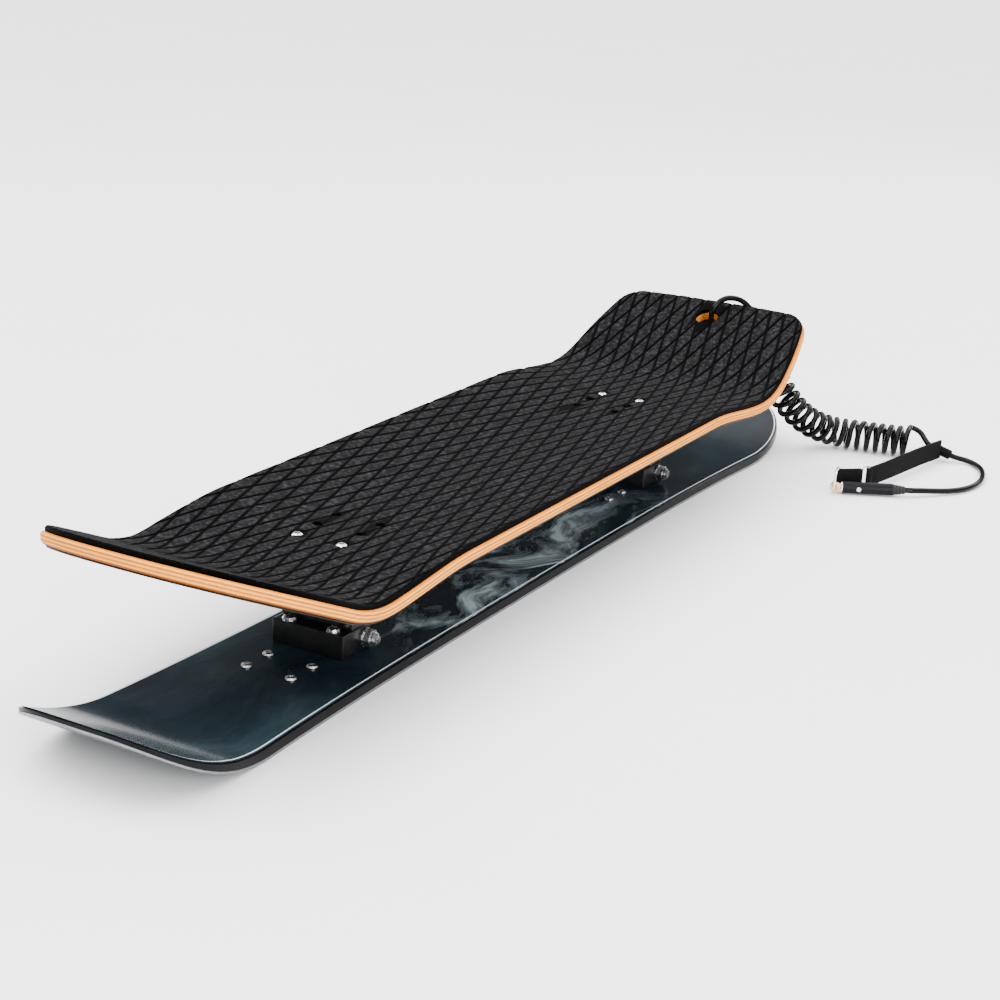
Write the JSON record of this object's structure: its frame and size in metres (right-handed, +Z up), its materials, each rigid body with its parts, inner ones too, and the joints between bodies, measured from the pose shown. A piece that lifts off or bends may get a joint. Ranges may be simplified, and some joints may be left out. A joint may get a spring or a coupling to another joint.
{
  "type": "snowskate",
  "caption": "Snowskate: concave wooden deck with a foam grip, held on rigid riser trucks above a short steel-edged ski, with a coiled leash at its tail.",
  "frame": {"origin": "on the ground, within 6 mm of the middle of the ski", "axes": "-Y towards the nose, +Y towards the tail with the leash, +Z up"},
  "size_m": [0.4238, 1.1243, 0.1687],
  "materials": {
    "maple": "clear lacquer on pale maple plies",
    "black_ply": "black stain, satin",
    "foam": "matt black foam with raised diamonds",
    "ski_base": "sintered running base",
    "ski_core": "laminated wood core",
    "sidewall": "black sidewall",
    "edge_steel": "ground steel edge",
    "topsheet": "dark slate top sheet with pale streaks and a pale border",
    "insert_steel": "threaded insert plate",
    "truck_paint": "black, semi gloss",
    "pad_rubber": "matt black rubber",
    "bolt_steel": "zinc-plated steel",
    "cord": "glossy black coated cord",
    "stopper": "black rubber",
    "webbing": "black woven webbing",
    "ring_chrome": "chromed wire",
    "swivel_brass": "plain brass",
    "connector": "black moulded sleeve",
    "relief_rubber": "black ribbed rubber"
  },
  "bodies": {
    "board": {"deck_bottom_veneer": "black_ply", "deck_core": "maple", "foam_grip": "foam", "front_back_ski_bolt_left": "bolt_steel", "front_back_ski_bolt_right": "bolt_steel", "front_cross_bolt": "bolt_steel", "front_cross_nut": "bolt_steel", "front_cross_washer": "bolt_steel", "front_deck_bolt_left": "bolt_steel", "front_deck_bolt_right": "bolt_steel", "front_deck_nut_left": "bolt_steel", "front_deck_nut_right": "bolt_steel", "front_front_ski_bolt_left": "bolt_steel", "front_front_ski_bolt_right": "bolt_steel", "front_insert_plate": "insert_steel", "front_lower_bracket": "truck_paint", "front_riser_pad": "pad_rubber", "front_spare_screw_1": "bolt_steel", "front_spare_screw_2": "bolt_steel", "front_spare_screw_3": "bolt_steel", "front_spare_screw_4": "bolt_steel", "front_upper_bracket": "truck_paint", "leash_coil": "cord", "leash_lead": "cord", "leash_noose_cord": "cord", "leash_ring": "ring_chrome", "leash_shackle": "ring_chrome", "leash_stopper": "stopper", "leash_strap": "webbing", "leash_swivel_eye": "swivel_brass", "leash_tab": "webbing", "rear_back_ski_bolt_left": "bolt_steel", "rear_back_ski_bolt_right": "bolt_steel", "rear_cross_bolt": "bolt_steel", "rear_cross_nut": "bolt_steel", "rear_cross_washer": "bolt_steel", "rear_deck_bolt_left": "bolt_steel", "rear_deck_bolt_right": "bolt_steel", "rear_deck_nut_left": "bolt_steel", "rear_deck_nut_right": "bolt_steel", "rear_front_ski_bolt_left": "bolt_steel", "rear_front_ski_bolt_right": "bolt_steel", "rear_insert_plate": "insert_steel", "rear_lower_bracket": "truck_paint", "rear_riser_pad": "pad_rubber", "rear_spare_screw_1": "bolt_steel", "rear_spare_screw_2": "bolt_steel", "rear_spare_screw_3": "bolt_steel", "rear_spare_screw_4": "bolt_steel", "rear_upper_bracket": "truck_paint", "ski_base": "ski_base", "ski_core": "ski_core", "ski_sidewall": "sidewall", "ski_steel_edge": "edge_steel", "ski_topsheet": "topsheet"},
    "leash_connector": {"leash_connector_rivet": "bolt_steel", "leash_connector_sleeve": "connector", "leash_strain_relief": "relief_rubber", "leash_swivel_collar": "ring_chrome"}
  },
  "joints": [
    {"name": "leash_swivel", "type": "hinge", "parent": "board", "child": "leash_connector", "pos_m": [0.188, 0.387, 0.007], "axis": [0.8846, 0.4664, 0], "continuous": true}
  ]
}
